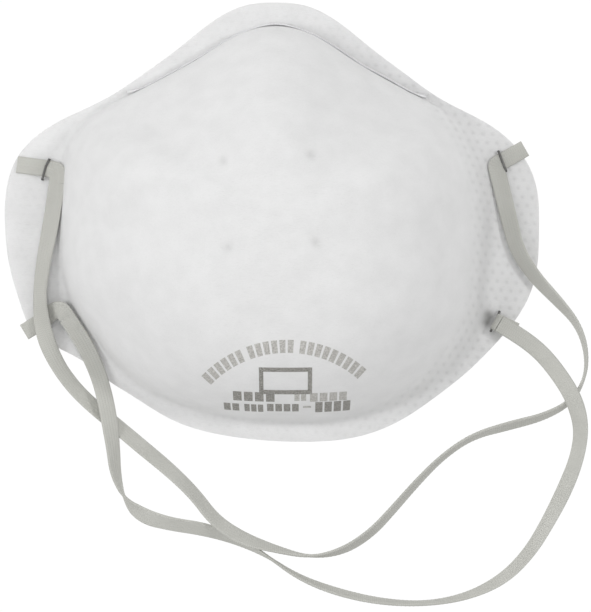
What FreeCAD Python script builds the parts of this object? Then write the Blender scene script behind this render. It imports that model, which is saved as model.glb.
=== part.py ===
import FreeCAD, Part
import math
import os

os.makedirs("parts", exist_ok=True)

# A moulded cup dust mask, lying on its flange, in millimetres.
# X runs across the face, Y from the chin to the nose, Z out of the face.
# The origin is the middle of the flange's back, which is the plane Z = 0.

CUP_DEPTH = 48.0
DOME_CENTRE = (1.0, -1.0)
COVER_THICKNESS = {"flange": 0.35, "dome": 0.5}
FILTER_THICKNESS = {"flange": 0.25, "dome": 0.4}
SHELL_THICKNESS = {"flange": 0.7, "dome": 1.2}
LINING_THICKNESS = {"flange": 0.0, "dome": 0.3}
FLANGE_TOP = COVER_THICKNESS["flange"] + FILTER_THICKNESS["flange"] + SHELL_THICKNESS["flange"]
DOME_HEIGHT = CUP_DEPTH - FLANGE_TOP
LINING_START_HEIGHT = 1.0

CLIP_ANGLES = (40.5, 138.0)
CLIP_WIDTH = 5.0
CLIP_THICKNESS = 0.5
CLIP_LIFT = 0.35
CLIP_STATIONS = 40
FOAM_ANGLES = (56.0, 124.0)
FOAM_WIDTH = 10.0
FOAM_THICKNESS = 3.5
FOAM_START_HEIGHT = 3.5
GLUE_DEPTH = 0.04

STRAP_WIDTH = 4.5
STRAP_THICKNESS = 0.85
STRAP_TUBE = 2.2
FOLD_RISE = 4.3
STAPLE_CROWN = 6.2
STAPLE_WIRE = 0.45
STAPLE_WIRE_WIDTH = 0.7
STAPLE_FOOT_GAP = 1.0
STAPLE_FOOT_HEIGHT = 0.08

# Edge of the flange, anticlockwise from the +X side.
FLANGE_OUTLINE = [
    (71.4, -1.0),
    (70.7, 9.5),
    (67.6, 17.0),
    (60.5, 24.5),
    (48.1, 31.4),
    (36.1, 39.4),
    (25.4, 47.5),
    (16.2, 54.6),
    (8.5, 58.1),
    (0.8, 58.8),
    (-7.0, 58.1),
    (-14.6, 54.6),
    (-23.8, 47.5),
    (-34.8, 39.4),
    (-47.9, 31.4),
    (-61.0, 24.6),
    (-68.0, 17.6),
    (-70.9, 9.5),
    (-71.4, -1.0),
    (-70.0, -12.5),
    (-67.2, -22.0),
    (-63.6, -29.3),
    (-57.0, -33.6),
    (-50.8, -36.9),
    (-45.2, -41.2),
    (-37.4, -46.3),
    (-27.0, -52.6),
    (-12.6, -56.9),
    (8.0, -58.6),
    (25.0, -56.7),
    (35.5, -52.2),
    (44.4, -46.1),
    (52.3, -39.8),
    (58.8, -33.4),
    (64.2, -27.2),
    (69.0, -19.0),
    (71.1, -10.0),
]

# Crease where the dome meets the flange, anticlockwise from the +X side.
CREASE_OUTLINE = [
    (59.6, -2.0),
    (58.6, 12.0),
    (56.3, 19.5),
    (50.5, 26.8),
    (40.6, 32.8),
    (30.6, 38.4),
    (20.9, 44.2),
    (9.2, 51.2),
    (1.0, 52.4),
    (-7.4, 50.8),
    (-18.5, 44.4),
    (-27.8, 39.2),
    (-37.7, 34.1),
    (-49.8, 27.0),
    (-54.8, 20.6),
    (-56.6, 12.0),
    (-57.0, -4.7),
    (-55.1, -19.6),
    (-49.6, -28.6),
    (-42.2, -38.0),
    (-33.6, -44.9),
    (-24.0, -49.2),
    (-11.0, -52.3),
    (7.5, -54.0),
    (23.5, -52.2),
    (35.0, -48.2),
    (47.0, -40.3),
    (54.6, -31.6),
    (57.6, -24.0),
    (59.2, -13.0),
]

# The dome's profile on four sides: how far the fillet at its foot reaches out on the flange,
# and then (share of the crease radius, share of the dome height) from the foot to the crown.
PROFILES = {
    "right": (
        7.5,
        [(0.950, 0.100), (0.916, 0.238), (0.868, 0.388), (0.804, 0.538), (0.719, 0.682)]
        + [(0.609, 0.808), (0.477, 0.904), (0.326, 0.968), (0.165, 1.0), (0.0, 1.0)],
    ),
    "nose": (
        1.2,
        [(0.987, 0.080), (0.958, 0.178), (0.893, 0.305), (0.805, 0.450), (0.702, 0.595)]
        + [(0.587, 0.735), (0.461, 0.855), (0.321, 0.945), (0.165, 1.0), (0.0, 1.0)],
    ),
    "left": (
        2.4,
        [(0.976, 0.075), (0.936, 0.228), (0.884, 0.388), (0.816, 0.543), (0.728, 0.688)]
        + [(0.614, 0.811), (0.480, 0.905), (0.327, 0.968), (0.165, 1.0), (0.0, 1.0)],
    ),
    "chin": (
        2.4,
        [(0.980, 0.080), (0.956, 0.250), (0.920, 0.422), (0.864, 0.590), (0.778, 0.740)]
        + [(0.660, 0.855), (0.515, 0.934), (0.350, 0.980), (0.172, 1.0), (0.0, 1.0)],
    ),
}
COLUMNS = 72
CORNER_ROW = 3
FLAT_SPAN = 1.0

# Stapled ends of the straps: (tail end, inner end) of the centre line, and the staple on it.
TABS = {
    "upper_left": {"tail": (-68.3, 15.4), "inner": (-57.6, 14.1), "staple": (-60.4, 14.4)},
    "upper_right": {"tail": (67.7, 19.5), "inner": (59.6, 15.0), "staple": (61.8, 16.2)},
    "lower_left": {"tail": (-66.2, -29.3), "inner": (-57.9, -23.7), "staple": (-60.2, -25.3)},
    "lower_right": {"tail": (65.2, -29.0), "inner": (58.3, -25.9), "staple": (60.6, -26.9)},
}

# Routes of the free straps, from the left staple round to the right one.
UPPER_STRAP_ROUTE = [
    (-59.0, 11.6, 2.9),
    (-58.9, 4.0, 3.1),
    (-59.7, -4.0, 3.1),
    (-61.2, -12.0, 3.3),
    (-62.0, -20.5, 4.2),
    (-60.8, -29.5, 4.6),
    (-57.8, -37.0, 3.6),
    (-53.5, -43.5, 2.0),
    (-48.0, -49.0, 1.65),
    (-41.5, -54.3, 1.6),
    (-34.5, -60.2, 1.6),
    (-27.2, -66.2, 1.75),
    (-21.0, -73.0, 2.2),
    (-16.0, -80.2, 3.2),
    (-8.5, -85.3, 3.6),
    (0.0, -87.6, 2.9),
    (10.0, -88.9, 2.4),
    (19.0, -87.8, 2.3),
    (26.5, -83.0, 2.2),
    (32.5, -76.5, 2.25),
    (38.6, -69.5, 2.3),
    (45.5, -62.5, 2.3),
    (53.5, -57.0, 2.3),
    (63.5, -54.2, 2.2),
    (73.0, -51.8, 2.2),
    (80.3, -47.4, 2.2),
    (83.7, -40.6, 2.3),
    (83.6, -32.5, 2.4),
    (80.6, -24.5, 2.3),
    (75.2, -16.7, 2.6),
    (69.8, -8.5, 3.1),
    (65.8, -0.7, 3.2),
    (63.4, 6.3, 3.0),
    (62.3, 12.6, 2.9),
]
LOWER_STRAP_ROUTE = [
    (-56.4, -25.9, 2.9),
    (-52.3, -30.1, 3.1),
    (-49.0, -35.0, 3.1),
    (-46.4, -40.3, 3.3),
    (-44.5, -46.4, 4.1),
    (-43.2, -53.0, 4.6),
    (-42.3, -60.0, 3.7),
    (-41.8, -67.0, 2.4),
    (-39.6, -73.2, 2.3),
    (-34.6, -77.6, 1.9),
    (-27.0, -80.4, 1.7),
    (-18.5, -83.4, 1.4),
    (-10.2, -87.0, 1.5),
    (-2.5, -91.2, 2.0),
    (7.0, -95.5, 2.25),
    (17.5, -98.8, 2.3),
    (29.0, -101.0, 2.3),
    (41.0, -101.5, 2.3),
    (52.0, -99.5, 2.3),
    (61.5, -95.0, 2.1),
    (68.5, -88.0, 2.0),
    (73.5, -79.7, 1.8),
    (78.0, -71.0, 1.7),
    (81.3, -62.5, 2.4),
    (82.2, -54.5, 4.2),
    (80.0, -47.3, 5.3),
    (76.0, -41.0, 4.9),
    (71.0, -35.3, 4.4),
    (65.6, -30.5, 4.6),
    (60.4, -27.0, 4.6),
]

TURN = 2 * math.pi
SPLINE_SWEEPS = 60
HALVINGS = 40
ARC_SHARE = 0.45


def vector(x, y, z):
    return FreeCAD.Vector(x, y, z)


def closed_radius(points):
    """Distance from the dome's axis as a smooth periodic function of the angle, through the points."""
    from_centre = [(x - DOME_CENTRE[0], y - DOME_CENTRE[1]) for x, y in points]
    polar = sorted((math.atan2(y, x) % TURN, math.hypot(x, y)) for x, y in from_centre)
    count = len(polar)
    gaps = [(polar[(i + 1) % count][0] - polar[i][0]) % TURN for i in range(count)]
    slopes = [(polar[(i + 1) % count][1] - polar[i][1]) / gaps[i] for i in range(count)]
    bends = [0.0] * count
    for _ in range(SPLINE_SWEEPS):
        for i in range(count):
            pull = 6 * (slopes[i] - slopes[i - 1])
            pull -= gaps[i - 1] * bends[i - 1] + gaps[i] * bends[(i + 1) % count]
            bends[i] = pull / (2 * (gaps[i - 1] + gaps[i]))

    def radius(angle):
        angle %= TURN
        i = max((k for k in range(count) if polar[k][0] <= angle), default=count - 1)
        j = (i + 1) % count
        past = (angle - polar[i][0]) % TURN
        rate = slopes[i] - gaps[i] * (2 * bends[i] + bends[j]) / 6
        cubic = (bends[j] - bends[i]) / (6 * gaps[i])
        return polar[i][1] + past * (rate + past * (bends[i] / 2 + past * cubic))

    return radius


flange_radius = closed_radius(FLANGE_OUTLINE)
crease_radius = closed_radius(CREASE_OUTLINE)


def side_shares(angle):
    """How much each of the four profiles counts at this angle; the shares add up to one."""
    across = math.cos(angle)
    up = math.sin(angle)
    return {
        "right": max(across, 0.0) ** 2,
        "left": max(-across, 0.0) ** 2,
        "nose": max(up, 0.0) ** 2,
        "chin": max(-up, 0.0) ** 2,
    }


def outer_profile(angle):
    """Control points (distance from the axis, height) of the mask's outer face at this angle."""
    shares = side_shares(angle)
    edge = flange_radius(angle)
    foot = crease_radius(angle)
    reach = sum(shares[side] * PROFILES[side][0] for side in PROFILES)
    reach = min(reach, 0.6 * (edge - foot))
    points = [
        (edge, FLANGE_TOP),
        ((edge + foot + reach) / 2, FLANGE_TOP),
        (foot + reach, FLANGE_TOP),
        (foot, FLANGE_TOP),
    ]
    for row in range(len(PROFILES["nose"][1])):
        inwards = sum(shares[side] * PROFILES[side][1][row][0] for side in PROFILES)
        upwards = sum(shares[side] * PROFILES[side][1][row][1] for side in PROFILES)
        points.append((foot * inwards, FLANGE_TOP + DOME_HEIGHT * upwards))
    return points


def inset_profile(points, flange_depth, dome_depth):
    """The profile moved into the mask, straight down on the flange and along its normal on the dome."""
    normals = []
    for (r0, z0), (r1, z1) in zip(points, points[1:]):
        length = math.hypot(r1 - r0, z1 - z0)
        normals.append((-(z1 - z0) / length, (r1 - r0) / length))
    moved = [(r, z - flange_depth) for r, z in points[:CORNER_ROW]]
    wall = normals[CORNER_ROW]
    corner = points[CORNER_ROW]
    moved.append((corner[0] + (dome_depth + flange_depth * wall[1]) / wall[0], corner[1] - flange_depth))
    for row in range(CORNER_ROW + 1, len(points) - 1):
        before = normals[row - 1]
        after = normals[row]
        mitre = dome_depth / (1 + before[0] * after[0] + before[1] * after[1])
        r, z = points[row]
        moved.append((r + mitre * (before[0] + after[0]), z + mitre * (before[1] + after[1])))
    moved.append((0.0, points[-1][1] - dome_depth))
    return moved


def control_net(flange_depth, dome_depth):
    """Columns of control points all round the mask, at this depth under its outer face."""
    net = []
    for column in range(COLUMNS):
        angle = TURN * column / COLUMNS
        profile = inset_profile(outer_profile(angle), flange_depth, dome_depth)
        net.append(
            [
                vector(DOME_CENTRE[0] + r * math.cos(angle), DOME_CENTRE[1] + r * math.sin(angle), z)
                for r, z in profile
            ]
        )
    return net


def web_surface(net):
    """Cubic surface of the net, closed round the mask and clamped at the edge and the crown."""
    rows = len(net[0])
    surface = Part.BSplineSurface()
    surface.buildFromPolesMultsKnots(
        net,
        [1] * (COLUMNS + 1),
        [4] + [1] * (rows - 4) + [4],
        list(range(COLUMNS + 1)),
        list(range(rows - 2)),
        True,
        False,
        3,
        3,
    )
    return surface


def ring_face(outer_ring, inner_ring):
    """Ruled face between two closed rings of control points."""
    surface = Part.BSplineSurface()
    surface.buildFromPolesMultsKnots(
        [list(pair) for pair in zip(outer_ring, inner_ring)],
        [1] * (COLUMNS + 1),
        [2, 2],
        list(range(COLUMNS + 1)),
        [0, 1],
        True,
        False,
        3,
        1,
    )
    return surface.toShape()


def sewn_solid(faces):
    shell = Part.Shell(faces)
    shell.sewShape()
    solid = Part.Solid(shell)
    if solid.Volume < 0:
        solid.reverse()
    return solid


def web_solid(upper_net, lower_net):
    """One web of the mask: the space between two nets, closed by the cut edge of the flange."""
    edge = ring_face([column[0] for column in upper_net], [column[0] for column in lower_net])
    return sewn_solid([web_surface(upper_net).toShape(), web_surface(lower_net).toShape(), edge])


def flat_backed_solid(upper_net, lower_net):
    """Web whose back is an exact plane on the flange, where its net is level, and curved in the dome."""
    back = web_surface(lower_net)
    turn, top = back.bounds()[1], back.bounds()[3]
    edge = ring_face([column[0] for column in upper_net], [column[0] for column in lower_net])
    rims = [Part.Wire([back.vIso(v).toShape(0, turn)]) for v in (0.0, FLAT_SPAN)]
    flange = Part.makeFace(rims, "Part::FaceMakerBullseye")
    dome = back.toShape(0, turn, FLAT_SPAN, top)
    return sewn_solid([web_surface(upper_net).toShape(), edge, flange, dome])


def height_parameter(surface, u, height):
    """Where the surface reaches this height on its way up from the flange."""
    low = 0.0
    high = surface.bounds()[3]
    for _ in range(HALVINGS):
        middle = (low + high) / 2
        if surface.value(u, middle).z < height:
            low = middle
        else:
            high = middle
    return high


def wall_point(surface, u, start, distance):
    """Point on the wall at this straight distance from the start, further up."""
    low = height_parameter(surface, u, start.z)
    high = surface.bounds()[3]
    for _ in range(HALVINGS):
        middle = (low + high) / 2
        if (surface.value(u, middle) - start).Length < distance:
            low = middle
        else:
            high = middle
    return surface.value(u, high)


def angle_parameter(degrees):
    """Surface parameter of the column at this angle."""
    return COLUMNS * degrees / 360.0 + PARAMETER_SHIFT


def measured_shift(surface):
    """How far the surface's parameter runs ahead of its columns."""
    ahead = surface.value(0.0, 0.0)
    angle = math.atan2(ahead.y - DOME_CENTRE[1], ahead.x - DOME_CENTRE[0])
    return -COLUMNS * angle / TURN


def metal_strip(surface):
    """Straight-sided strip of constant width on the outside of the dome's wall, bent round the nose."""
    first, last = (angle_parameter(angle) for angle in CLIP_ANGLES)
    sections = []
    for station in range(CLIP_STATIONS + 1):
        u = first + (last - first) * station / CLIP_STATIONS
        low = surface.value(u, height_parameter(surface, u, FLANGE_TOP + CLIP_LIFT))
        high = wall_point(surface, u, low, CLIP_WIDTH)
        outwards = vector(low.x - DOME_CENTRE[0], low.y - DOME_CENTRE[1], 0)
        chord = (high - low).normalize()
        across = (outwards - chord * outwards.dot(chord)).normalize()
        back = across * -GLUE_DEPTH
        front = across * CLIP_THICKNESS
        sections.append(Part.makePolygon([low + back, high + back, high + front, low + front, low + back]))
    return Part.makeLoft(sections, True, False)


def wall_pad(face, front):
    """Soft strip between two surfaces of the wall, over the foam's angles and width."""
    first, last = (angle_parameter(angle) for angle in FOAM_ANGLES)
    middle = (first + last) / 2
    low = height_parameter(face, middle, FOAM_START_HEIGHT)
    top = wall_point(face, middle, face.value(middle, low), FOAM_WIDTH)
    high = height_parameter(face, middle, top.z)
    sides = [face.toShape(first, last, low, high), front.toShape(first, last, low, high)]
    for v in (low, high):
        rails = [surface.vIso(v).toShape(first, last) for surface in (face, front)]
        sides.append(Part.makeRuledSurface(*rails))
    for u in (first, last):
        rails = [surface.uIso(u).toShape(low, high) for surface in (face, front)]
        sides.append(Part.makeRuledSurface(*rails))
    return sewn_solid(sides)


def dome_lining(face, back):
    """Soft web inside the dome, from just above the flange's back to the crown."""
    turn, top = face.bounds()[1], face.bounds()[3]
    eighths = [COLUMNS * part / 8.0 for part in range(8)]
    start = max(height_parameter(back, u, LINING_START_HEIGHT) for u in eighths)
    rim = Part.makeRuledSurface(face.vIso(start).toShape(), back.vIso(start).toShape())
    return sewn_solid([face.toShape(0, turn, start, top), back.toShape(0, turn, start, top), rim])


def along(tail, inner):
    """Direction from the tail towards the inner end, and its angle in degrees."""
    direction = vector(inner[0] - tail[0], inner[1] - tail[1], 0)
    return direction, math.degrees(math.atan2(direction.y, direction.x))


def placed(shape, point, degrees):
    """The shape, drawn along +X at the origin, turned to this angle and moved to the point."""
    shape.rotate(vector(0, 0, 0), vector(0, 0, 1), degrees)
    shape.translate(vector(point[0], point[1], 0))
    return shape


def staple(centre, degrees):
    """Flat wire staple: a crown over the strap, two legs through the flange, and their clinched feet."""
    top = FLANGE_TOP + STRAP_THICKNESS + STAPLE_WIRE
    half = STAPLE_CROWN / 2
    corner = vector(-STAPLE_WIRE_WIDTH / 2, -half, STAPLE_FOOT_HEIGHT)
    body = Part.makeBox(STAPLE_WIRE_WIDTH, STAPLE_CROWN, top - STAPLE_FOOT_HEIGHT, corner)
    inside = Part.makeBox(
        STAPLE_WIRE_WIDTH * 3,
        STAPLE_CROWN - 2 * STAPLE_WIRE,
        top - STAPLE_FOOT_HEIGHT - 2 * STAPLE_WIRE,
        vector(-STAPLE_WIRE_WIDTH * 1.5, STAPLE_WIRE - half, STAPLE_FOOT_HEIGHT + STAPLE_WIRE),
    )
    foot_gap = Part.makeBox(
        STAPLE_WIRE_WIDTH * 3,
        STAPLE_FOOT_GAP,
        2 * STAPLE_WIRE,
        vector(-STAPLE_WIRE_WIDTH * 1.5, -STAPLE_FOOT_GAP / 2, STAPLE_FOOT_HEIGHT - STAPLE_WIRE / 2),
    )
    body = body.cut(inside)
    shoulders = [
        edge
        for edge in body.Edges
        if abs(abs(edge.CenterOfMass.y) - half) < 1e-6 and abs(edge.CenterOfMass.z - top) < 1e-6
    ]
    body = body.makeFillet(STAPLE_WIRE * 0.8, shoulders)
    return placed(body.cut(foot_gap).Solids[0], centre, degrees)


def strap_tab(tail, inner):
    """Flat stapled end of a strap, lying on the flange."""
    direction, degrees = along(tail, inner)
    plate = Part.makeBox(
        direction.Length, STRAP_WIDTH, STRAP_THICKNESS, vector(0, -STRAP_WIDTH / 2, FLANGE_TOP)
    )
    return placed(plate, tail, degrees)


def folded_tab(tail, inner):
    """Stapled end whose strap turns back over itself at the inner end, above the staple."""
    direction, degrees = along(tail, inner)
    reach = direction.Length
    low = FLANGE_TOP
    bend = (FOLD_RISE + STRAP_THICKNESS / 2 - low) / 2
    inside = bend - STRAP_THICKNESS
    high = low + 2 * bend
    outline = [
        Part.LineSegment(vector(0, 0, low), vector(reach - bend, 0, low)),
        Part.Arc(
            vector(reach - bend, 0, low), vector(reach, 0, low + bend), vector(reach - bend, 0, high)
        ),
        Part.LineSegment(vector(reach - bend, 0, high), vector(reach - bend, 0, high - STRAP_THICKNESS)),
        Part.Arc(
            vector(reach - bend, 0, high - STRAP_THICKNESS),
            vector(reach - bend + inside, 0, low + bend),
            vector(reach - bend, 0, low + STRAP_THICKNESS),
        ),
        Part.LineSegment(
            vector(reach - bend, 0, low + STRAP_THICKNESS), vector(0, 0, low + STRAP_THICKNESS)
        ),
        Part.LineSegment(vector(0, 0, low + STRAP_THICKNESS), vector(0, 0, low)),
    ]
    face = Part.Face(Part.Wire([piece.toShape() for piece in outline]))
    folded = face.extrude(vector(0, STRAP_WIDTH, 0))
    folded.translate(vector(0, -STRAP_WIDTH / 2, 0))
    return placed(folded, tail, degrees)


def free_strap(name, route):
    """Round tube for a free strap: straight runs joined by arcs as large as the runs allow."""
    points = [vector(*point) for point in route]
    pieces = []
    radii = []
    start = points[0]
    for before, corner, after in zip(points, points[1:], points[2:]):
        into = (corner - before).normalize()
        out_of = (after - corner).normalize()
        half_turn = into.getAngle(out_of) / 2
        cut = ARC_SHARE * min((corner - before).Length, (after - corner).Length)
        radius = cut / math.tan(half_turn)
        towards_centre = (out_of - into).normalize()
        middle = corner + towards_centre * (radius / math.cos(half_turn) - radius)
        begin = corner - into * cut
        end = corner + out_of * cut
        pieces.append(Part.LineSegment(start, begin).toShape())
        pieces.append(Part.Arc(begin, middle, end).toShape())
        radii.append(radius)
        start = end
    pieces.append(Part.LineSegment(start, points[-1]).toShape())
    path = Part.Wire(pieces)
    section = Part.Wire([Part.makeCircle(STRAP_TUBE / 2, points[0], points[1] - points[0])])
    tube = path.makePipeShell([section], True, False)
    expected = math.pi * (STRAP_TUBE / 2) ** 2 * path.Length
    print(name, "length", round(path.Length, 1), "volume ratio", round(tube.Volume / expected, 4))
    print("  bend radii", [round(radius, 1) for radius in radii])
    return tube


def save(node, shape):
    box = shape.BoundBox
    print(
        node,
        shape.ShapeType,
        "valid" if shape.isValid() else "NOT VALID",
        "volume", round(shape.Volume, 1),
        "x", round(box.XMin, 1), round(box.XMax, 1),
        "y", round(box.YMin, 1), round(box.YMax, 1),
        "z", round(box.ZMin, 2), round(box.ZMax, 2),
    )
    shape.exportStep("parts/" + node + ".step")


# Boundaries between the webs, from the outer face to the face side.
nets = {}
depth = {"flange": 0.0, "dome": 0.0}
for boundary, thickness in [
    ("cover", COVER_THICKNESS),
    ("filter", FILTER_THICKNESS),
    ("shell", SHELL_THICKNESS),
    ("lining", LINING_THICKNESS),
]:
    nets[boundary] = control_net(depth["flange"], depth["dome"])
    depth = {zone: depth[zone] + thickness[zone] for zone in depth}
nets["face_side"] = control_net(depth["flange"], depth["dome"])

cover_face = web_surface(nets["cover"])
lining_face = web_surface(nets["face_side"])
foam_front = web_surface(control_net(depth["flange"], depth["dome"] + FOAM_THICKNESS))
PARAMETER_SHIFT = measured_shift(cover_face)

save("outer_cover", web_solid(nets["cover"], nets["filter"]))
save("filter_layer", web_solid(nets["filter"], nets["shell"]))
save("moulded_shell", flat_backed_solid(nets["shell"], nets["lining"]))
save("inner_lining", dome_lining(web_surface(nets["lining"]), lining_face))
save("nose_clip", metal_strip(cover_face))
save("nose_foam", wall_pad(lining_face, foam_front))
for place, tab in TABS.items():
    degrees = along(tab["tail"], tab["inner"])[1]
    make_tab = folded_tab if place == "lower_right" else strap_tab
    save("strap_tab_" + place, make_tab(tab["tail"], tab["inner"]))
    save("staple_" + place, staple(tab["staple"], degrees))
save("upper_strap", free_strap("upper_strap", UPPER_STRAP_ROUTE))
save("lower_strap", free_strap("lower_strap", LOWER_STRAP_ROUTE))
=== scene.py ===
import math

import bpy
import numpy as np
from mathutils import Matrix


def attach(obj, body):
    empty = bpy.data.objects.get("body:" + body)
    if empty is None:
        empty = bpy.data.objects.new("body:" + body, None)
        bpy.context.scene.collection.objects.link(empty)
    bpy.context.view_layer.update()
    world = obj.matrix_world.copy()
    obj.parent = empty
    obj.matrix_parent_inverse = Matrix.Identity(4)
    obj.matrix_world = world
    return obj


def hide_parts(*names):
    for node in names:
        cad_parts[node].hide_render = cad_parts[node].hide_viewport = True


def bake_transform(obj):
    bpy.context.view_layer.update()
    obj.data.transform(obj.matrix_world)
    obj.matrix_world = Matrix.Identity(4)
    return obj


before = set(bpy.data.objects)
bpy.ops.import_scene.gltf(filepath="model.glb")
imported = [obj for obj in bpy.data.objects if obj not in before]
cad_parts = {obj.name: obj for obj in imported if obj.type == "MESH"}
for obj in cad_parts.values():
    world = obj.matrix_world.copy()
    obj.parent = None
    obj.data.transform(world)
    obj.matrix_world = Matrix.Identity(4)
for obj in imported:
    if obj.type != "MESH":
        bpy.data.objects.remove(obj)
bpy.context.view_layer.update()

# The visual model of a moulded cup dust mask, in metres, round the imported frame.
# X runs across the face, Y from the chin to the nose, Z out of the face; the flange lies on Z = 0.

TURN = 2 * math.pi

# The mask's webs.
CUP_DEPTH = 0.048
DOME_CENTRE = (0.001, -0.001)
COVER_THICKNESS = (0.00035, 0.0005)
FILTER_THICKNESS = (0.00025, 0.0004)
SHELL_THICKNESS = (0.0007, 0.0012)
LINING_THICKNESS = (0.0, 0.0003)
FLANGE_TOP = COVER_THICKNESS[0] + FILTER_THICKNESS[0] + SHELL_THICKNESS[0]
DOME_HEIGHT = CUP_DEPTH - FLANGE_TOP
LINING_START_HEIGHT = 0.001

# Nose clip and foam.
CLIP_ANGLES = (40.5, 138.0)
CLIP_WIDTH = 0.005
CLIP_THICKNESS = 0.00034
CLIP_LIFT = 0.00035
FOAM_ANGLES = (56.0, 124.0)
FOAM_WIDTH = 0.010
FOAM_THICKNESS = 0.0035
FOAM_START_HEIGHT = 0.0035

# Straps and staples.
STRAP_WIDTH = 0.0045
STRAP_THICKNESS = 0.00085
STAPLE_CROWN = 0.0062
STAPLE_WIRE = 0.00045
STAPLE_WIRE_WIDTH = 0.0006

# Camera: straight above, a little off the mask's middle.
CAMERA_HEIGHT = 0.700
VIEW_CENTRE = (0.00628, -0.0223)
VIEW_WIDTH = 0.1580
SENSOR_WIDTH = 36.0

# Edge of the flange, anticlockwise from the +X side.
FLANGE_OUTLINE = [
    (0.0714, -0.001), (0.0707, 0.0095), (0.0676, 0.017), (0.0605, 0.0245), (0.0481, 0.0314),
    (0.0361, 0.0394), (0.0254, 0.0475), (0.0162, 0.0546), (0.0085, 0.0581), (0.0008, 0.0588),
    (-0.007, 0.0581), (-0.0146, 0.0546), (-0.0238, 0.0475), (-0.0348, 0.0394), (-0.0479, 0.0314),
    (-0.061, 0.0246), (-0.068, 0.0176), (-0.0709, 0.0095), (-0.0714, -0.001), (-0.07, -0.0125),
    (-0.0672, -0.022), (-0.0636, -0.0293), (-0.057, -0.0336), (-0.0508, -0.0369), (-0.0452, -0.0412),
    (-0.0374, -0.0463), (-0.027, -0.0526), (-0.0126, -0.0569), (0.008, -0.0586), (0.025, -0.0567),
    (0.0355, -0.0522), (0.0444, -0.0461), (0.0523, -0.0398), (0.0588, -0.0334), (0.0642, -0.0272),
    (0.069, -0.019), (0.0711, -0.01),
]
# Crease where the dome meets the flange, anticlockwise from the +X side.
CREASE_OUTLINE = [
    (0.0596, -0.002), (0.0586, 0.012), (0.0563, 0.0195), (0.0505, 0.0268), (0.0406, 0.0328),
    (0.0306, 0.0381), (0.0207, 0.044), (0.0092, 0.0508), (0.001, 0.0524), (-0.0074, 0.0508),
    (-0.0185, 0.0444), (-0.0278, 0.0392), (-0.0377, 0.0341), (-0.0498, 0.027), (-0.0548, 0.0206),
    (-0.0566, 0.012), (-0.057, -0.0047), (-0.0551, -0.0196), (-0.0496, -0.0286), (-0.0422, -0.038),
    (-0.0336, -0.0449), (-0.024, -0.0492), (-0.011, -0.0523), (0.0075, -0.054), (0.0235, -0.0522),
    (0.035, -0.0482), (0.047, -0.0403), (0.0546, -0.0316), (0.0576, -0.024), (0.0592, -0.013),
]

# The dome's profile on four sides: how far the fillet at its foot reaches out on the flange,
# and then (share of the crease radius, share of the dome height) from the foot to the crown.
PROFILES = {
    "right": (
        0.0075,
        [(0.950, 0.100), (0.916, 0.238), (0.868, 0.388), (0.804, 0.538), (0.719, 0.682)]
        + [(0.609, 0.808), (0.477, 0.904), (0.326, 0.968), (0.165, 1.0), (0.0, 1.0)],
    ),
    "nose": (
        0.0008,
        [(0.997, 0.070), (0.988, 0.165), (0.915, 0.305), (0.812, 0.450), (0.705, 0.595)]
        + [(0.587, 0.735), (0.461, 0.855), (0.321, 0.945), (0.165, 1.0), (0.0, 1.0)],
    ),
    "left": (
        0.0024,
        [(0.976, 0.075), (0.936, 0.228), (0.884, 0.388), (0.816, 0.543), (0.728, 0.688)]
        + [(0.614, 0.811), (0.480, 0.905), (0.327, 0.968), (0.165, 1.0), (0.0, 1.0)],
    ),
    "chin": (
        0.0024,
        [(0.980, 0.080), (0.956, 0.250), (0.920, 0.422), (0.864, 0.590), (0.778, 0.740)]
        + [(0.660, 0.855), (0.515, 0.934), (0.350, 0.980), (0.172, 1.0), (0.0, 1.0)],
    ),
}
# Where the nose's profile starts and where it is full, as the squared sine of the angle.
NOSE_REACH = (0.10, 0.42)
# Most of the flange's width that the fillet at the dome's foot may take.
FILLET_SHARE = 0.6
# Control rows of a profile from the edge to the crown, and the row at the dome's foot.
ROWS = 14
CORNER_ROW = 3

# Routes of the free straps, from the left staple round to the right one.
UPPER_STRAP_ROUTE = [
    (-0.0573, 0.0105, 0.0024), (-0.0582, 0.004, 0.0024), (-0.0597, -0.004, 0.0026),
    (-0.0612, -0.012, 0.0031), (-0.062, -0.0205, 0.0041), (-0.0608, -0.0295, 0.0046),
    (-0.0578, -0.037, 0.0036), (-0.0535, -0.0435, 0.002), (-0.048, -0.049, 0.00165),
    (-0.0415, -0.0543, 0.0016), (-0.0345, -0.0602, 0.0016), (-0.0272, -0.0662, 0.00175),
    (-0.0206, -0.0725, 0.0026), (-0.0153, -0.0794, 0.004), (-0.008, -0.0842, 0.0044),
    (0.0003, -0.0869, 0.0034), (0.0102, -0.0895, 0.0024), (0.019, -0.0878, 0.0023),
    (0.0265, -0.083, 0.0022), (0.0325, -0.0765, 0.00225), (0.0386, -0.0695, 0.0023),
    (0.0455, -0.0625, 0.0023), (0.0535, -0.057, 0.0023), (0.0635, -0.0542, 0.0022),
    (0.073, -0.0518, 0.0022), (0.0804, -0.0476, 0.0022), (0.0839, -0.0408, 0.0023),
    (0.0838, -0.0335, 0.003), (0.0812, -0.0268, 0.0042), (0.0758, -0.0208, 0.005),
    (0.0696, -0.0143, 0.0049), (0.0652, -0.0073, 0.0042), (0.0633, 0.0002, 0.0034),
    (0.0618, 0.0068, 0.0027), (0.0607, 0.0113, 0.0024),
]

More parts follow.
